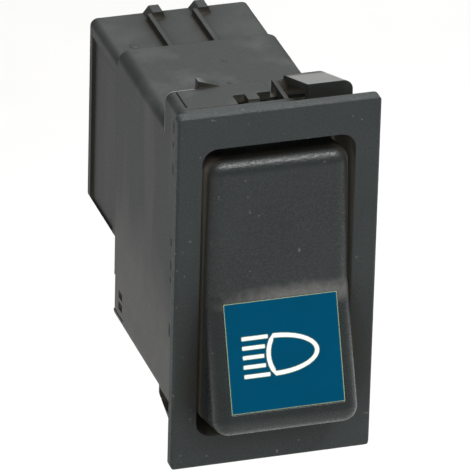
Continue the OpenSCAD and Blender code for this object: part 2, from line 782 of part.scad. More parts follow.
// Side view of a moving contact in its middle position: a dished centre, two wings and a knuckle
module moving_contact_side() {
    difference() {
        union() {
            intersection() {
                circle(dish_r + contact_t, $fn = 96);
                translate([wing_y, -5]) square([6, 10]);
            }
            translate([wing_y, -wing_z]) square([contact_t, 2 * wing_z]);
        }
        circle(dish_r, $fn = 96);
    }
    translate([knuckle_y, 0]) circle(knuckle_r);
}

module moving_contact(s) {
    color("#b87845") at_contact(s) side(-strip_w / 2, strip_w / 2) moving_contact_side();
}

module moving_points(s) {
    color("silver") at_contact(s) for (end = [-1, 1])
        translate([0, 0, end * contact_arm]) bar_y(point_r, wing_y + contact_t, point_face);
}

module plunger(s) {
    color("#e8e4d8") rocked() translate([s * column_x, 0, 0]) {
        bar_y(plunger_r, plunger_reach - plunger_l, plunger_reach - plunger_r);
        translate([0, plunger_reach - plunger_r, 0]) rotate([-90, 0, 0]) sphere(plunger_r);
    }
}

// A coil spring along Y, swept as rings round the helix
module plunger_spring(s) {
    sides = 6;
    per_turn = 14;
    steps = spring_turns * per_turn;
    coil_r = plunger_r - wire_r - 0.1;
    free_l = spring_l - 2 * wire_r;
    points = [for (i = [0:steps], k = [0:sides - 1])
        let (a = 360 * i / per_turn, b = 360 * k / sides, r = coil_r + wire_r * cos(b))
            [r * cos(a), wire_r + free_l * i / steps + wire_r * sin(b), r * sin(a)]];
    quads = [for (i = [0:steps - 1], k = [0:sides - 1]) let (n = (k + 1) % sides)
        [i * sides + k, i * sides + n, (i + 1) * sides + n, (i + 1) * sides + k]];
    caps = [[for (k = [sides - 1:-1:0]) k], [for (k = [0:sides - 1]) steps * sides + k]];
    color("silver") rocked() translate([s * column_x, guide_floor, 0])
        polyhedron(points, concat(quads, caps));
}

// ---- lamp ----------------------------------------------------------------------------------------

module lamp_holder() {
    color("#d8d5c8") translate([0, 0, -lamp_drop]) difference() {
        bar_y(holder_r, holder_y, holder_y + holder_l);
        bar_y(bulb_r + fit, holder_y - eps, bulb_y + bulb_l + fit);
    }
}

module bulb() {
    color("#f2f2ea") translate([0, bulb_y + bulb_r, -lamp_drop]) rotate([-90, 0, 0]) {
        sphere(bulb_r);
        cylinder(r = bulb_r, h = bulb_l - bulb_r);
    }
}

bezel();
housing();
terminal_base();
rocker();
lens();
lens_symbol();
plunger(-1);  // plunger_left
plunger(1);  // plunger_right
plunger_spring(-1);  // plunger_spring_left
plunger_spring(1);  // plunger_spring_right
moving_contact(-1);  // moving_contact_left
moving_contact(1);  // moving_contact_right
moving_points(-1);  // moving_points_left
moving_points(1);  // moving_points_right
common_terminal(-1);  // common_terminal_left
common_terminal(1);  // common_terminal_right
fixed_terminal(-1, 1);  // upper_terminal_left
fixed_terminal(1, 1);  // upper_terminal_right
fixed_terminal(-1, -1);  // lower_terminal_left
fixed_terminal(1, -1);  // lower_terminal_right
fixed_points();
lamp_terminal(-1);  // lamp_terminal_left
lamp_terminal(1);  // lamp_terminal_right
lamp_holder();
bulb();
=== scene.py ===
# %% [markdown]
# # A panel rocker switch
# This switch clips into the dashboard of a vehicle. Its shape is finished before this file begins:
# every moulding, blade and spring is a solid of the right size. What is left is how it looks. The
# file gives each material its colour, its grain and its sheen, adds small marks, some left by
# moulding and some painted light and shade, and then sets up the light and the camera. The solids
# are loaded first.

# %% Load the frame
import math

import bpy
from mathutils import Matrix, Vector
from mathutils.bvhtree import BVHTree


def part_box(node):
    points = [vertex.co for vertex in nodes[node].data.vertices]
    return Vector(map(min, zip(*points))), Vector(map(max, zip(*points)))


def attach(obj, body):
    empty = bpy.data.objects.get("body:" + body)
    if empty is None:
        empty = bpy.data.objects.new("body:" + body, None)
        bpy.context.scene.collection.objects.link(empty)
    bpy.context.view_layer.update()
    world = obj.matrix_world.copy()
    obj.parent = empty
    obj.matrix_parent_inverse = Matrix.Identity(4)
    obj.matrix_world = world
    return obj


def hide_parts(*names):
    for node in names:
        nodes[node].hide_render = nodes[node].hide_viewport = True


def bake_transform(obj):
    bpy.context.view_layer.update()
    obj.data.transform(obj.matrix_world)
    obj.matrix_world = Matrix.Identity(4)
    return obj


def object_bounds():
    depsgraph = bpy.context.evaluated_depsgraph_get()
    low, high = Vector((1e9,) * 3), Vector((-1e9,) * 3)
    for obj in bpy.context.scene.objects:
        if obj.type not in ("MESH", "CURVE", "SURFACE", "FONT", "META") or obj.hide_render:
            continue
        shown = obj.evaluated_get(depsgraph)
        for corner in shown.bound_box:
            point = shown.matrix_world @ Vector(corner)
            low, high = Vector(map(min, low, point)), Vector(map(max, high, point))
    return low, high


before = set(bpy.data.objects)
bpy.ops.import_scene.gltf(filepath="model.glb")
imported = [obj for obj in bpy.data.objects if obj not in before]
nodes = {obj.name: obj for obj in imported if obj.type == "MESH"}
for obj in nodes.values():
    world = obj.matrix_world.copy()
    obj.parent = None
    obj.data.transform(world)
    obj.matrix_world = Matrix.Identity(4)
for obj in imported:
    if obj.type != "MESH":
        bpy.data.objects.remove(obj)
cad_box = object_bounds()
MM = 0.001


def in_mm(lengths, digits=1):
    """Lengths in metres as rounded millimetres, for printing."""
    return [round(length / MM, digits) for length in lengths]


def put(name, data):
    """A new object in the scene that shows data."""
    piece = bpy.data.objects.new(name, data)
    bpy.context.scene.collection.objects.link(piece)
    return piece


# %% [markdown]
# ## Node helpers
# Every finish below is a small tree of shader nodes. The same few nodes come back each time: a
# noise, a ramp between two colours, and a range that turns a measure into a mask. A short function
# for each keeps the recipes readable. Two rules make them safe to reuse. The noise is laid out in
# the object's own space, so that it stays on a piece that moves, and scales are in waves per metre,
# so that they can be compared with the size of the part.

# %% Make a material, and add nodes to it
def new_node(tree, kind, values=None):
    """Adds a shader node and sets the inputs that values names."""
    node = tree.nodes.new("ShaderNode" + kind)
    for socket, value in (values or {}).items():
        node.inputs[socket].default_value = value
    return node


def new_material(name):
    """A material with an empty node tree, its Principled shader and its output."""
    material = bpy.data.materials.new(name)
    material.use_nodes = True
    tree = material.node_tree
    tree.nodes.clear()
    shader = new_node(tree, "BsdfPrincipled")
    output = new_node(tree, "OutputMaterial")
    tree.links.new(shader.outputs["BSDF"], output.inputs["Surface"])
    return material, tree, shader


def noise(tree, scale, detail=4.0, stretch=(1, 1, 1), roughness=0.5, lean=0.0):
    """Noise of scale waves per metre, drawn out by a low stretch and turned about X by lean."""
    place = new_node(tree, "TexCoord")
    mapping = new_node(tree, "Mapping", {"Scale": stretch, "Rotation": (lean, 0, 0)})
    field = new_node(tree, "TexNoise", {"Scale": scale, "Detail": detail, "Roughness": roughness})
    tree.links.new(place.outputs["Object"], mapping.inputs["Vector"])
    tree.links.new(mapping.outputs["Vector"], field.inputs["Vector"])
    return field.outputs["Fac"]


print("helpers: new_node, new_material, noise")

# %% Turn a value into a colour or a mask
def colour(shade):
    """A shade with its alpha. A plain number gives a grey."""
    return (*(shade if isinstance(shade, tuple) else (shade,) * 3), 1)


def shades(tree, value, low, high, start=0.3, end=0.7):
    """A ramp from the shade low, where value is start, to the shade high, where it is end."""
    ramp = new_node(tree, "ValToRGB")
    for element, place, shade in zip(ramp.color_ramp.elements, (start, end), (low, high)):
        element.position = place
        element.color = colour(shade)
    tree.links.new(value, ramp.inputs["Fac"])
    return ramp.outputs["Color"]


def blend_shades(tree, amount, first, second):
    """Mixes two shades, each plain or a socket: all first where amount is 0, all second at 1."""
    mix = new_node(tree, "Mix")
    mix.data_type = "RGBA"
    tree.links.new(amount, mix.inputs["Factor"])
    for socket, shade in ((mix.inputs["A"], first), (mix.inputs["B"], second)):
        if isinstance(shade, (tuple, float)):
            socket.default_value = colour(shade)
        else:
            tree.links.new(shade, socket)
    return mix.outputs["Result"]


def mask(tree, value, none, full, smooth=False):
    """0 where value reaches none and 1 where it reaches full, whichever of them is the higher."""
    level = new_node(tree, "MapRange", {"From Min": none, "From Max": full})
    if smooth:
        level.interpolation_type = "SMOOTHSTEP"
    tree.links.new(value, level.inputs["Value"])
    return level.outputs["Result"]


def wavering(tree, value, field, reach):
    """Moves value by up to reach, as field goes from 0 to 1."""
    moved = new_node(tree, "Math")
    moved.operation = "MULTIPLY_ADD"
    moved.inputs[1].default_value = reach
    tree.links.new(field, moved.inputs[0])
    tree.links.new(value, moved.inputs[2])
    return moved.outputs["Value"]


print("helpers: colour, shades, blend_shades, mask, wavering")

# %% [markdown]
# ## Soft edges without changing the solids
# No moulded edge is perfectly sharp: a thin line along it catches the light. A bevel modifier would
# do it on a simple box, but these meshes come from exact solids with many tiny faces round their
# holes, where a bevel would fold. The Bevel node is the better choice. It leaves the mesh alone and
# only turns the normals near an edge while the picture is made. Its output feeds the Bump node, so
# grain and edge work together.

# %% Round the edges and add a grain
def rounded(tree, radius, samples):
    """The normals that the surface would have if its edges were rounded to radius."""
    bevel = new_node(tree, "Bevel", {"Radius": radius})
    bevel.samples = samples
    return bevel.outputs["Normal"]


def grain(tree, shader, relief, depth, edge=0.0):
    """Bumps the surface by depth metres, over edges rounded to the radius edge."""
    bump = new_node(tree, "Bump", {"Distance": depth})
    tree.links.new(relief, bump.inputs["Height"])
    if edge:
        tree.links.new(rounded(tree, edge, samples=6), bump.inputs["Normal"])
    tree.links.new(bump.outputs["Normal"], shader.inputs["Normal"])


print("helpers: rounded, grain")

# %% [markdown]
# ## Painted shade, and dust that also stands for light
# Dust settles in the gap round the rocker, where no cloth reaches. There the surface is painted
# a warmer and paler tone: partly that dust, partly painted light that lifts the deep shade of the
# gap. Further out the walls are painted darker and browner, a painted shade, and made rougher,
# which takes away their sheen. The Ambient Occlusion node finds such places by itself, which is
# simpler than painting a mask, and it still holds when the gap is made wider.

# %% Painted shade, and dust with painted light, where the surface is shut in
# The first tone is for deep gaps: partly dust, partly painted light that lifts their shade.
DUST_AND_LIGHT_TONE = (0.15, 0.137, 0.112)
# The next tone is a painted shade for walls that are partly shut in.
SHADE_TONE = (0.013, 0.0115, 0.0085)
SHADE_ROUGHNESS = 0.95
# How open a place is, from 0 to 1, where it carries none of the layer and where it is covered.
SHADE_NONE, SHADE_FULL = 1.0, 0.55
DUST_AND_LIGHT_NONE, DUST_AND_LIGHT_FULL = 0.56, 0.18


def shut_in(tree, reach, none, full):
    """1 where the surroundings within reach leave the surface full open or less, 0 at none."""
    openness = new_node(tree, "AmbientOcclusion", {"Distance": reach})
    openness.samples = 8
    return mask(tree, openness.outputs["AO"], none, full)


def shade_dust_and_light(tree, tone, rough, reach):
    """Adds painted shade where the surface is partly shut in, and a dusty tone with painted light
    deeper in.
    """
    # Painted shade: darker, browner and rougher where the surface is partly shut in.
    painted_shade = shut_in(tree, reach, SHADE_NONE, SHADE_FULL)
    shaded_tone = blend_shades(tree, painted_shade, tone, SHADE_TONE)
    dulled = blend_shades(tree, painted_shade, rough, SHADE_ROUGHNESS)
    # Partly dust, partly painted light: a paler tone where the surface is quite shut in.
    dust_and_light = shut_in(tree, reach, DUST_AND_LIGHT_NONE, DUST_AND_LIGHT_FULL)
    return blend_shades(tree, dust_and_light, shaded_tone, DUST_AND_LIGHT_TONE), dulled


print("dust, film:", DUST_AND_LIGHT_TONE, SHADE_TONE)

# %% [markdown]
# ## Moulded plastics
# The bezel and the rocker are what the driver sees, so their mould was spark-eroded: an even grain
# of a few tenths of a millimetre, and a satin sheen. A mix of two close tones driven by a slow
# noise keeps each face from being one flat colour, and the peaks of the grain are paler, because
# they are the first to be polished. A few specks of lint lie on every face. They are the rare
# highest peaks of another noise, which is quicker than scattering small meshes.

# %% A recipe for grained plastic
LINT = (0.26, 0.25, 0.23)
LINT_SCALE, LINT_START, LINT_END, LINT_AMOUNT = 1700, 0.825, 0.87, 0.3
CLOUD_SCALE = 140
PEAK_START, PEAK_END, PEAK_GAIN = 0.46, 0.68, 2.6
# A pale tone for a painted sheen on the rocker above the lens.
SHEEN_TONE = (0.122, 0.121, 0.116)


def moulded(name, dark, light, rough, grain_size, grain_depth, edge,
            speckle=0.1, shade_reach=0.0, sheen=None):
    """Plastic from a grained mould, from dark to light, and from its roughest to its smoothest."""
    material, tree, shader = new_material(name)
    cloud = noise(tree, CLOUD_SCALE, detail=3)
    fine = noise(tree, 1 / grain_size, detail=5, roughness=0.6)
    peaks = shades(tree, fine, 0.0, speckle, PEAK_START, PEAK_END)
    polished = tuple(PEAK_GAIN * channel for channel in light)
    tone = blend_shades(tree, peaks, shades(tree, cloud, dark, light), polished)
    lint = shades(tree, noise(tree, LINT_SCALE, detail=0), 0.0, LINT_AMOUNT, LINT_START, LINT_END)
    tone = blend_shades(tree, lint, tone, LINT)
    # A painted sheen, where a mask is given: paler as the mask rises.
    if sheen:
        tone = blend_shades(tree, sheen(tree), tone, SHEEN_TONE)
    level = shades(tree, fine, rough[0], rough[1], 0.42, 0.58)
    # Painted shade, and a paler tone that is partly dust and partly painted light, in shut-in
    # places.
    if shade_reach:
        tone, level = shade_dust_and_light(tree, tone, level, shade_reach)
    tree.links.new(tone, shader.inputs["Base Color"])
    tree.links.new(level, shader.inputs["Roughness"])
    grain(tree, shader, fine, grain_depth, edge)
    return material


print("recipe: moulded")

# %% [markdown]
# ## A painted sheen above the lens
# The band of the rocker just above the lens is painted pale: a painted sheen for the light that
# the fold there mirrors. A mask painted by hand would have to be repainted if the rocker changed.
# Here the spot is measured from the box of the lens: the distance to its centre, in units of its
# own size, fades the painted sheen out, and a noise frays its border.

# %% The painted sheen spot, and the three grained plastics
def sheen_spot(centre, size):
    """Makes a mask that fades from 1 at centre to 0 at size away from it, roughened by noise."""
    def spot(tree):
        place = new_node(tree, "TexCoord")
        away = new_node(tree, "Mapping")
        away.vector_type = "TEXTURE"
        away.inputs["Location"].default_value = centre
        away.inputs["Scale"].default_value = size
        distance = new_node(tree, "VectorMath")
        distance.operation = "LENGTH"
        tree.links.new(place.outputs["Object"], away.inputs["Vector"])
        tree.links.new(away.outputs["Vector"], distance.inputs[0])
        frayed = wavering(tree, distance.outputs["Value"], noise(tree, 900, detail=4), 0.5)
        return mask(tree, frayed, none=1.25, full=0.35, smooth=True)
    return spot


lens_low, lens_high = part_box("lens")
# Painted sheen: a pale band just above the lens, fading out from its centre.
fold_sheen = sheen_spot(centre=(lens_high.x - 0.0050, lens_low.y, lens_high.z + 0.0001),
                       size=(0.0150, 0.02, 0.0022))
bezel_black = moulded("bezel_black", dark=(0.013, 0.019, 0.019), light=(0.018, 0.025, 0.025),
                      rough=(0.66, 0.54), grain_size=0.00030, grain_depth=0.000014, edge=0.0002,
                      shade_reach=0.006)
rocker_black = moulded("rocker_black", dark=(0.0075, 0.011, 0.011), light=(0.0105, 0.015, 0.015),
                       rough=(0.46, 0.22), grain_size=0.00028, grain_depth=0.000056, edge=0.0003,
                       speckle=0.26, shade_reach=0.0028, sheen=fold_sheen)
nylon = moulded("nylon", dark=(0.56, 0.53, 0.44), light=(0.66, 0.63, 0.54),
                rough=(0.5, 0.38), grain_size=0.0006, grain_depth=0.00001, edge=0.00015)
nylon_shader = nylon.node_tree.nodes["Principled BSDF"]
nylon_shader.inputs["Subsurface Weight"].default_value = 0.15
nylon_shader.inputs["Subsurface Radius"].default_value = (0.001, 0.0008, 0.0005)
print("grained plastics:", [finish.name for finish in (bezel_black, rocker_black, nylon)])

# %% [markdown]
# ## Glass-filled housing
# The housing and the terminal base are glass-filled. Nobody sees them once the switch is in its
# panel, so they are left as they come out of the tool: cool and dark, and paler towards the foot.
# Pale wisps run along the flow, and lean a little with it. Three fields make this: height with a
# wavering border for the paler foot, a noise stretched upwards for the wisps, and a fine mottle.
# Above the collar, where the surface faces up, the sloping tops of the latches are smoother and
# painted pale: a painted highlight for the light that they mirror.

# %% Masks by height and by slope
def height(tree, low, high, field=None, reach=0.0):
    """0 below the height low and 1 above high, in metres. field moves the border by reach."""
    axes = new_node(tree, "SeparateXYZ")
    tree.links.new(new_node(tree, "TexCoord").outputs["Object"], axes.inputs["Vector"])
    value = axes.outputs["Z"]
    if field is not None:
        value = wavering(tree, value, field, reach)
    return mask(tree, value, low, high, smooth=True)


def facing_up(tree, none=0.35, full=0.75):
    """1 where the surface faces up and 0 where it is steep, by how far its normal rises."""
    axes = new_node(tree, "SeparateXYZ")
    tree.links.new(new_node(tree, "NewGeometry").outputs["True Normal"], axes.inputs["Vector"])
    return mask(tree, axes.outputs["Z"], none, full)


print("masks: height, facing_up")

# %% A recipe for glass-filled plastic
# A painted highlight on the latch tops: its pale tone, its lower roughness and its fade in height.
LATCH_HIGHLIGHT, LATCH_ROUGHNESS = (0.150, 0.154, 0.152), 0.30
LATCH_HIGHLIGHT_FADE = 0.0008
WISP_LEAN, WISP_FOOT_SHARE = -0.22, 0.38


def glass_filled(name, dense, foot_tone, foot, highlight_from=None):
    """Dark plastic, paler below foot = (all paler, none), with a painted highlight on high upward
    faces.
    """
    material, tree, shader = new_material(name)
    slow = noise(tree, 75, detail=3, stretch=(1, 1, 0.45), roughness=0.55)
    # Paler towards the foot: below the heights in foot, with a wavering border.
    clear = height(tree, *foot, field=slow, reach=0.022)
    mottle = noise(tree, 420, detail=4)
    wisps = noise(tree, 170, detail=3, stretch=(1, 1, 0.16), lean=WISP_LEAN)
    wispy = tuple((1 - WISP_FOOT_SHARE) * d + WISP_FOOT_SHARE * h for d, h in zip(dense, foot_tone))
    streaked = shades(tree, wisps, dense, wispy, 0.48, 0.70)
    mottled_foot = shades(tree, mottle, tuple(0.88 * h for h in foot_tone), tuple(1.08 * h for h in foot_tone))
    tone = blend_shades(tree, clear, mottled_foot, streaked)
    fine = noise(tree, 2600, detail=5, roughness=0.6)
    rough = shades(tree, fine, 0.64, 0.54)
    # A painted highlight: upward faces above the collar are painted pale and made smoother.
    if highlight_from:
        latch_highlight_mask = new_node(tree, "Math")
        latch_highlight_mask.operation = "MULTIPLY"
        above = height(tree, highlight_from, highlight_from + LATCH_HIGHLIGHT_FADE)
        tree.links.new(above, latch_highlight_mask.inputs[0])
        tree.links.new(facing_up(tree), latch_highlight_mask.inputs[1])
        tone = blend_shades(tree, latch_highlight_mask.outputs["Value"], tone, LATCH_HIGHLIGHT)
        rough = blend_shades(tree, latch_highlight_mask.outputs["Value"], rough, LATCH_ROUGHNESS)
    # Painted shade, and a paler tone that is partly dust and partly painted light, in shut-in
    # places.
    tone, rough = shade_dust_and_light(tree, tone, rough, reach=0.003)
    tree.links.new(tone, shader.inputs["Base Color"])
    tree.links.new(rough, shader.inputs["Roughness"])
    shader.inputs["Specular IOR Level"].default_value = 0.45
    grain(tree, shader, fine, 0.000012, 0.0002)
    return material


housing_low, housing_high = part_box("housing")
base_low, base_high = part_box("terminal_base")
latch_rise = 0.0033
housing_grey = glass_filled("housing_grey", dense=(0.0135, 0.0180, 0.0172),
                            foot_tone=(0.078, 0.077, 0.076), foot=(-0.0045, 0.0125),
                            highlight_from=housing_high.z - latch_rise)
base_grey = glass_filled("base_grey", dense=(0.0145, 0.0185, 0.0178),
                         foot_tone=(0.050, 0.051, 0.050), foot=(-0.0220, -0.0020))
print("housing (mm):", in_mm(housing_low), "to", in_mm(housing_high))
print("terminal base (mm):", in_mm(base_low), "to", in_mm(base_high))

# %% [markdown]
# ## The lens and its symbol
# The lens is tinted right through, so that the lamp behind it shows blue. By day it reads as one
# deep and even blue with a dull skin. Along its edges a thin pale line is painted: a painted
# highlight for the light that the edges catch. Comparing the Bevel node's rounded normal with the
# true one finds those edges. The symbol is white ink in a shallow engraving. Ink is never quite
# even, so it gets its own faint mottle.

# %% Lens and ink
def edge_mask(tree, radius):
    """1 along the edges and 0 on the flats: where a rounded normal leaves the true one."""
    agreement = new_node(tree, "VectorMath")
    agreement.operation = "DOT_PRODUCT"
    tree.links.new(rounded(tree, radius, samples=8), agreement.inputs[0])
    tree.links.new(new_node(tree, "NewGeometry").outputs["Normal"], agreement.inputs[1])
    return mask(tree, agreement.outputs["Value"], none=0.97, full=0.80)


def tinted_lens():
    """Blue plastic with a dull skin, and a painted highlight along its edges."""
    material, tree, shader = new_material("lens_blue")
    blue = shades(tree, noise(tree, 260, detail=2), (0.0, 0.058, 0.119), (0.0, 0.062, 0.128))
    # A painted highlight: a pale line along the edges.
    tone = blend_shades(tree, edge_mask(tree, 0.00026), blue, (0.50, 0.60, 0.34))
    tree.links.new(tone, shader.inputs["Base Color"])
    shader.inputs["Roughness"].default_value = 0.42
    shader.inputs["Specular IOR Level"].default_value = 0.03
    grain(tree, shader, noise(tree, 2500, detail=2), 0.000002, 0.00012)
    return material


def white_ink():
    """Ink with a faint mottle."""
    material, tree, shader = new_material("symbol_white")
    mottle = noise(tree, 1400, detail=3)
    tone = shades(tree, mottle, (0.90, 0.90, 0.89), (0.97, 0.97, 0.96))
    tree.links.new(tone, shader.inputs["Base Color"])
    shader.inputs["Roughness"].default_value = 0.5
    grain(tree, shader, mottle, 0.000002)
    return material


lens_blue = tinted_lens()
symbol_white = white_ink()
print("made", lens_blue.name, "and", symbol_white.name)

# %% [markdown]
# ## Strip, wire and rivets
# The blades are stamped from brass strip and flashed with tin, so they are pale and a little
# streaky along the direction of rolling. The rocking contacts are bare copper, warmer and partly
# tarnished. The contact rivets are dull silver and the springs drawn wire. All four are one metal
# recipe: noise stretched along the strip drives both the tone and the roughness.

# %% Rolled metal
def rolled(name, dark, light, rough, stretch=(1, 1, 1), edge=0.0001):
    """A metal with streaks, which run long along the axis where stretch is small."""
    material, tree, shader = new_material(name)
    streak = noise(tree, 1500, detail=5, stretch=stretch, roughness=0.65)
    tree.links.new(shades(tree, streak, dark, light), shader.inputs["Base Color"])
    tree.links.new(shades(tree, streak, *rough), shader.inputs["Roughness"])
    shader.inputs["Metallic"].default_value = 1.0
    grain(tree, shader, streak, 0.000004, edge)
    return material


terminal_brass = rolled("terminal_brass", (0.55, 0.47, 0.30), (0.74, 0.68, 0.52),
                        rough=(0.42, 0.28), stretch=(1, 0.06, 1))
contact_copper = rolled("contact_copper", (0.48, 0.24, 0.13), (0.72, 0.42, 0.27),
                        rough=(0.45, 0.3), stretch=(1, 1, 0.08))
contact_silver = rolled("contact_silver", (0.58, 0.57, 0.54), (0.78, 0.77, 0.74),
                        rough=(0.38, 0.25))
spring_steel = rolled("spring_steel", (0.42, 0.42, 0.43), (0.60, 0.60, 0.61),
                      rough=(0.38, 0.26), edge=0)
print("metals:", [m.name for m in (terminal_brass, contact_copper, contact_silver, spring_steel)])

# %% [markdown]
# ## The lamp's glass
# A wedge lamp is a thin glass bulb. Clear glass shows mostly by its outline and by what it
# reflects. A faint waviness from drawing the tube keeps those reflections from looking like
# polished plastic.

# %% Bulb glass
def lamp_glass():
    """Clear glass with a faint waviness."""
    material, tree, shader = new_material("bulb_glass")
    tone = shades(tree, noise(tree, 300, detail=2), (0.93, 0.95, 0.94), (0.98, 0.99, 0.98))
    tree.links.new(tone, shader.inputs["Base Color"])
    shader.inputs["Transmission Weight"].default_value = 1.0
    shader.inputs["Roughness"].default_value = 0.04
    shader.inputs["IOR"].default_value = 1.5
    grain(tree, shader, noise(tree, 500, detail=1), 0.00002)
    return material


bulb_glass = lamp_glass()
print("made", bulb_glass.name)

# %% [markdown]
# ## Put the finishes on the solids
# Each solid already carries a plain finish from its record. Swapping the material in its slot
# changes the look and nothing else, which is why it is better here than building new meshes over
# the old ones. Every solid that isn't named is a blade, and gets the brass.

# %% Finish every solid
FINISHES = {
    "bezel": bezel_black, "rocker": rocker_black,
    "housing": housing_grey, "terminal_base": base_grey,
    "lens": lens_blue, "lens_symbol": symbol_white,
    "lamp_holder": nylon, "bulb": bulb_glass, "fixed_points": contact_silver,
}
for side in ("left", "right"):
    FINISHES[f"plunger_{side}"] = nylon
    FINISHES[f"plunger_spring_{side}"] = spring_steel
    FINISHES[f"moving_contact_{side}"] = contact_copper
    FINISHES[f"moving_points_{side}"] = contact_silver
for name, node in nodes.items():
    finish = FINISHES.get(name, terminal_brass)
    node.data.materials.clear()
    node.data.materials.append(finish)
    print(f"  {name}: {finish.name}")

# %% [markdown]
# ## The coil springs
# A coil spring sits between the rocker and each plunger, and it shortens when the plunger is pushed
# in. A spring that rode on the rocker alone would stick through the plunger. Here each coil is a
# smooth-shaded copy of its solid, kept where it stands, and the original solid is hidden.

# %% Copy each coil and hide its solid
for side in ("left", "right"):
    coil_mesh = nodes[f"plunger_spring_{side}"].data.copy()
    coil_mesh.shade_smooth()
    coil = put(f"coil_spring_{side}", coil_mesh)
    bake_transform(coil)
    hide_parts(f"plunger_spring_{side}")

# %% [markdown]
# ## A low disc, and how to set it on a solid
# The next two kinds of mark are thin prints on the outer skin. They could be a bump in a material,
# but a print has a place of its own, so a low disc with a rounded rim is simpler: it moves with the
# housing and shows from every side. A ray shot at the solid finds the skin and the way it faces, so
# a mark stays on the surface when the solid is made wider or taller.

# %% The disc, and rays at the skin
def disc(name, radius, depth, at, normal, turns=32):
    """A low disc with a rounded rim, its face towards normal."""
    rim = depth * 0.6
    rings = [(radius - rim, depth), (radius - rim * 0.3, depth - rim * 0.3), (radius, 0)]
    round_about = [2 * math.pi * k / turns for k in range(turns)]
    points = [(0, 0, depth)]
    points += [(r * math.cos(angle), r * math.sin(angle), z)
               for r, z in rings for angle in round_about]
    faces = [(0, 1 + k, 1 + (k + 1) % turns) for k in range(turns)]
    for ring in range(len(rings) - 1):
        inner, outer = 1 + ring * turns, 1 + (ring + 1) * turns
        faces += [(inner + k, outer + k, outer + (k + 1) % turns, inner + (k + 1) % turns)
                  for k in range(turns)]
    mesh = bpy.data.meshes.new(name)
    mesh.from_pydata(points, [], faces)
    mesh.shade_smooth()
    piece = put(name, mesh)
    turn = Vector(normal).to_track_quat("Z", "Y").to_matrix().to_4x4()
    piece.matrix_world = Matrix.Translation(Vector(at)) @ turn
    return piece


def skin_of(node):
    """A search tree over the faces of a solid."""
    mesh = node.data
    return BVHTree.FromPolygons([v.co for v in mesh.vertices], [p.vertices for p in mesh.polygons])


def hit(skin, place, way):
    """The point, and the normal there, where a ray from far off towards place meets the skin."""
    point, normal, _, _ = skin.ray_cast(Vector(place) - way * FAR_OFF, way)
    return point, normal


FAR_OFF = 0.1
SINK = 0.00001  # a mark's rim starts this far under the skin, so that no gap shows
FROM_ABOVE, FROM_BELOW, FROM_LEFT = Vector((0, 0, -1)), Vector((0, 0, 1)), Vector((1, 0, 0))
housing_skin = skin_of(nodes["housing"])
base_skin = skin_of(nodes["terminal_base"])
print("helpers: disc, skin_of, hit")

# %% [markdown]
# ## Ejector marks
# Pins push a moulding out of its tool, and each leaves a faint round print. The roof has two small
# ones. The underside and the shroud have wider ones near their corners, where the tool has room
# for them.

# %% Ejector marks
MARK_DEPTH = 0.00005
HOUSING, SHROUD = (housing_skin, housing_grey), (base_skin, base_grey)
MARKS = [  # name, what it is on, x and y in mm, side, radius in mm
    ("roof_mark_1", HOUSING, 0.4, 20.6, FROM_ABOVE, 0.35),
    ("roof_mark_2", HOUSING, 1.6, 26.9, FROM_ABOVE, 0.35),
    ("under_mark_1", HOUSING, -6.0, 16.0, FROM_BELOW, 0.9),
    ("under_mark_2", HOUSING, 6.0, 16.0, FROM_BELOW, 0.9),
    ("under_mark_3", HOUSING, -6.0, 22.0, FROM_BELOW, 0.9),
    ("under_mark_4", HOUSING, 6.0, 22.0, FROM_BELOW, 0.9),
    ("shroud_mark_1", SHROUD, -7.5, 36.5, FROM_ABOVE, 0.7),
    ("shroud_mark_2", SHROUD, -7.5, 36.5, FROM_BELOW, 0.7),
    ("shroud_mark_3", SHROUD, 7.5, 36.5, FROM_BELOW, 0.7),
]
for name, (skin, finish), x, y, way, radius in MARKS:
    point, normal = hit(skin, (x * MM, y * MM, 0), way)
    mark = disc(name, radius * MM, MARK_DEPTH, point - normal * SINK, normal)
    mark.data.materials.append(finish)
    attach(mark, "base")
    print(f"  {name}: at", in_mm(point, 2))

# %% [markdown]
# ## Painted shade in notches beside the seam
# The bezel snaps onto the housing. Down the side, beside the seam, runs a row of short dark
# slivers: painted shade for small notches in the joint. They are the same low disc as the
# ejector marks, drawn out into a sliver, which is quicker than cutting the solid and leaves its
# size alone.

# %% Painted shade in the notches beside the seam
# Painted shade: a near-black finish for the slivers.
notch_shade_finish = moulded("notch_shade_finish", dark=(0.006, 0.006, 0.005), light=(0.009, 0.009, 0.008),
                    rough=(0.8, 0.7), grain_size=0.0003, grain_depth=0.00001, edge=0)
NOTCH_SHADE_DEPTH = 0.00003
NOTCH_SHADE_Y, NOTCH_SHADE_RADIUS = 8.4 * MM, 0.26 * MM
NOTCH_SHADES = [(18.9, 1.9), (16.4, 0.9), (12.9, 1.7), (2.5, 1.2), (-0.8, 1.5), (-2.9, 0.9), (-10.1, 2.1)]
for number, (up, length) in enumerate(NOTCH_SHADES, 1):
    point, normal = hit(housing_skin, (0, NOTCH_SHADE_Y, up * MM), FROM_LEFT)
    notch_shade = disc(f"nick_{number}", NOTCH_SHADE_RADIUS, NOTCH_SHADE_DEPTH, point - normal * SINK, normal)
    notch_shade.data.transform(Matrix.Diagonal((1, length * MM / (2 * NOTCH_SHADE_RADIUS), 1, 1)))
    notch_shade.data.materials.append(notch_shade_finish)
    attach(notch_shade, "base")
print(len(NOTCH_SHADES), "nicks down the side, at", in_mm([NOTCH_SHADE_Y]), "mm")

# %% [markdown]
# ## Inside the lamp
# Two stiff leads rise through the glass foot of the bulb, and a coil of tungsten hangs between
# their tips. Each is a curve with a round bevel: a wire is a path with a thickness, and a curve
# keeps both easy to change. The coil's turns are worked out along an arc, because the real filament
# sags a little between its leads.

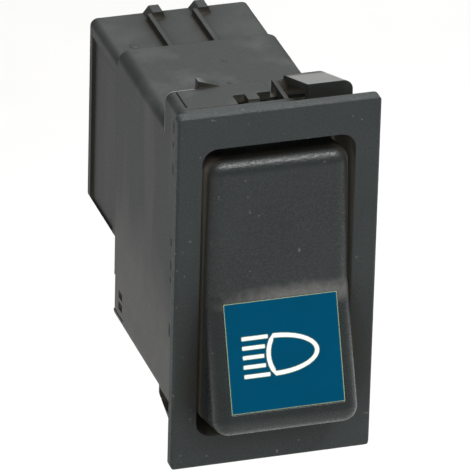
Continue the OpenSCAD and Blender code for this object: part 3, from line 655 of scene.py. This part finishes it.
# %% Leads and filament
def wire(name, points, thickness, finish):
    """A round wire along the points."""
    curve = bpy.data.curves.new(name, "CURVE")
    curve.dimensions = "3D"
    curve.bevel_depth = thickness / 2
    curve.bevel_resolution = 2
    curve.use_fill_caps = True
    path = curve.splines.new("POLY")
    path.points.add(len(points) - 1)
    for corner, point in zip(path.points, points):
        corner.co = (*point, 1)
    curve.materials.append(finish)
    piece = put(name, curve)
    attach(piece, "base")
    return piece


bulb_low, bulb_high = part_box("bulb")
lamp_x, lamp_z = (bulb_low.x + bulb_high.x) / 2, (bulb_low.z + bulb_high.z) / 2
half_span, tip_y, foot_y = 0.0012, bulb_low.y + 0.0042, bulb_high.y - 0.0012
for side, way in (("left", -1), ("right", 1)):
    foot_x, tip_x = lamp_x + way * half_span * 0.7, lamp_x + way * half_span
    bends = [(foot_x, foot_y), (foot_x, tip_y + 0.003), (tip_x, tip_y + 0.0008), (tip_x, tip_y)]
    wire(f"lamp_lead_{side}", [(x, y, lamp_z) for x, y in bends], 0.0003, spring_steel)

coils, steps, coil_radius, full_sag = 9, 14, 0.00022, 0.0003
filament = []
for k in range(coils * steps + 1):
    done = k / (coils * steps)
    angle = 2 * math.pi * k / steps
    sag = full_sag * math.sin(math.pi * done)
    filament.append((lamp_x + half_span * (2 * done - 1),
                     tip_y - sag + coil_radius * math.cos(angle),
                     lamp_z + coil_radius * math.sin(angle)))
wire("lamp_filament", filament, 0.00007, spring_steel)
print("lamp: two leads and a coil of", coils, "turns")

# %% [markdown]
# ## A painted highlight on the collar's corner
# A pale thread runs over the rear corner of the collar: a painted highlight for the light that the
# corner catches. Rays shot down at the solid, one behind the other, find where the collar ends.
# Rays from round about then find its corner point by point, so the thread lies on it whatever
# radius the corner has.

# %% A painted highlight over the collar's corner
# Painted highlight: a pale finish for the thread over the corner.
collar_highlight_finish = moulded("collar_highlight_finish", dark=(0.03, 0.03, 0.03), light=(0.30, 0.30, 0.29),
                     rough=(0.6, 0.5), grain_size=0.0009, grain_depth=0.00001, edge=0)


def collar_end(x, first_y, step, lowest_z):
    """The last y at which the collar's top, at x, is not yet under lowest_z. All are in mm."""
    for k in range(80):
        y = first_y + step * k
        point, _ = hit(housing_skin, (x * MM, y * MM, 0), FROM_ABOVE)
        if point is not None and point.z < lowest_z * MM:
            return y - step
    return first_y


rear_edge = collar_end(x=-8.5, first_y=9.0, step=0.1, lowest_z=20.5)
print("the collar ends at", round(rear_edge, 2), "mm")
hub = Vector((-6.0 * MM, (rear_edge - 0.08) * MM, 17.0 * MM))
first_angle, last_angle, highlight_steps = -6, 78, 24
highlight_path = []
for k in range(highlight_steps + 1):
    angle = math.radians(first_angle + (last_angle - first_angle) * k / highlight_steps)
    point, _ = hit(housing_skin, hub, Vector((math.cos(angle), 0, -math.sin(angle))))
    if point is not None:
        highlight_path.append(point)
# The painted highlight, laid as a thin wire along the corner.
wire("collar_highlight", highlight_path, 0.00012, collar_highlight_finish)
print("flash of", len(highlight_path), "points from", in_mm(highlight_path[0]), "to", in_mm(highlight_path[-1]))

# %% [markdown]
# ## Light
# A dark moulding is drawn mostly by what it mirrors, so each light here has one reflection to make.
# The world gives an even base from all sides. A wide soft panel behind and above lies where the
# tops and the sloping latch mirror it, and makes them paler than the front. The key panel in front
# and above runs as a bright line along the rounded end of the rocker. The last panel stands near
# the camera and throws no shadow and no reflection: without it the gap round the rocker would be a
# black hole instead of the brown walls painted there, partly as dust and partly as painted light.

# %% Lamps and world
def panel(name, at, width, height, watts):
    """A rectangular lamp at a place in metres, turned to the middle of the switch."""
    light = bpy.data.lights.new(name, "AREA")
    light.shape = "RECTANGLE"
    light.size, light.size_y = width, height
    light.energy = watts
    lamp = put(name, light)
    lamp.location = at
    lamp.rotation_euler = (middle - Vector(at)).to_track_quat("-Z", "Y").to_euler()
    lamp.visible_camera = False
    return lamp


middle = (cad_box[0] + cad_box[1]) / 2
panel("back_panel", at=(0.16, 0.26, 0.50), width=0.36, height=0.26, watts=2.4)
panel("key_panel", at=(0.20, -0.27, 0.63), width=0.26, height=0.18, watts=3.8)
fill = panel("fill_panel", at=(-0.30, -0.93, 0.51), width=0.3, height=0.3, watts=2.6)
fill.data.use_shadow = False
fill.visible_glossy = False

world = bpy.data.worlds.new("studio")
bpy.context.scene.world = world
world.use_nodes = True
world_tree = world.node_tree
world_tree.nodes.clear()
background = new_node(world_tree, "Background", {"Strength": 0.39, "Color": (1, 0.985, 0.96, 1)})
world_output = new_node(world_tree, "OutputWorld")
world_tree.links.new(background.outputs["Background"], world_output.inputs["Surface"])
print("three panels and the world")

# %% [markdown]
# ## Floor
# A plain pale floor well below the switch keeps the picture clean and catches a soft shadow. It
# takes light as paper does, and it lights the underside of the switch in return.

# %% Floor
def make_floor(level, reach):
    """A square of pale paper at a height of level, which goes out to reach on all sides."""
    mesh = bpy.data.meshes.new("floor")
    corners = [(-reach, -reach), (reach, -reach), (reach, reach), (-reach, reach)]
    mesh.from_pydata([(x, y, level) for x, y in corners], [], [(0, 1, 2, 3)])
    floor = put("floor", mesh)
    material, tree, shader = new_material("floor_paper")
    tree.links.new(shades(tree, noise(tree, 40, detail=3), 0.70, 0.72), shader.inputs["Base Color"])
    shader.inputs["Roughness"].default_value = 0.9
    floor.data.materials.append(material)
    return floor


floor_level = cad_box[0].z - 0.06
make_floor(floor_level, 3.0)
print("floor at", in_mm([floor_level]), "mm")

# %% [markdown]
# ## Camera
# The switch is seen from its left and from above, through a long lens from most of a metre away, so
# that its edges stay almost parallel. The camera leans a degree and a half. It is placed by turning
# a distance, two angles and the lean into a matrix, which is easier to adjust than three
# coordinates and a rotation.

# %% Place the camera
def place_camera(azimuth, elevation, lean, distance, aim, focal_length):
    """Azimuth turns the view to the right of +Y, elevation looks down, lean rolls the camera."""
    a, e, roll = map(math.radians, (azimuth, elevation, lean))
    forward = Vector((math.sin(a) * math.cos(e), math.cos(a) * math.cos(e), -math.sin(e)))
    right = Vector((math.cos(a), -math.sin(a), 0))
    up = right.cross(forward)
    x_axis = right * math.cos(roll) + up * math.sin(roll)
    y_axis = up * math.cos(roll) - right * math.sin(roll)
    camera = put("camera", bpy.data.cameras.new("camera"))
    turn = Matrix((x_axis, y_axis, -forward)).transposed().to_4x4()
    camera.matrix_world = Matrix.Translation(Vector(aim) - forward * distance) @ turn
    camera.data.lens = focal_length
    camera.data.sensor_width = 36
    camera.data.clip_start, camera.data.clip_end = 0.05, 20
    bpy.context.scene.camera = camera
    return camera


camera = place_camera(azimuth=18.08, elevation=27.54, lean=1.58, distance=0.8356,
                      aim=(-0.00506, 0, 0.00707), focal_length=509.7)
bpy.context.scene.view_settings.view_transform = "Standard"
print("camera at (mm):", in_mm(camera.location))
